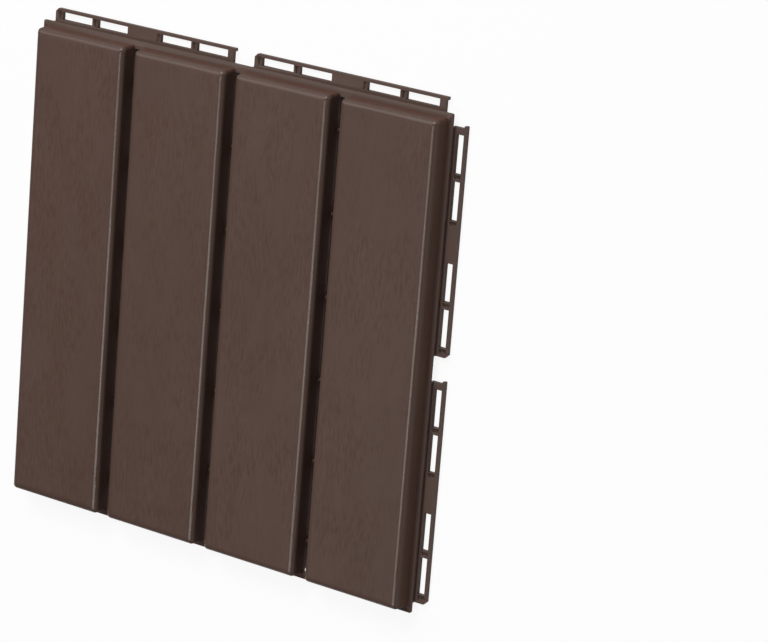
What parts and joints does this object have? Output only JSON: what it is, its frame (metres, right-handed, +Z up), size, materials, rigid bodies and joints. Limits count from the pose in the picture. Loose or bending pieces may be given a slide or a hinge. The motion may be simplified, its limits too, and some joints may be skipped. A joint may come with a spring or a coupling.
{
  "type": "interlocking deck tile",
  "caption": "Square moulded plastic deck tile with raised parallel slats, slotted tab frames along two sides and matching tongues under the other two.",
  "frame": {"origin": "middle of the tile's own square of the laying grid, on the ground, at the bottom of the middle cross rib", "axes": "+Z up out of the walking surface, X across the slats, Y along the slats; the tab frames are on the +X and +Y sides"},
  "size_m": [0.3064, 0.3064, 0.017],
  "materials": {
    "plastic": "dark brown moulded plastic with a fine wood-grain texture on the slats, satin"
  },
  "bodies": {
    "root": {"deck_tile": "plastic"}
  },
  "joints": []
}
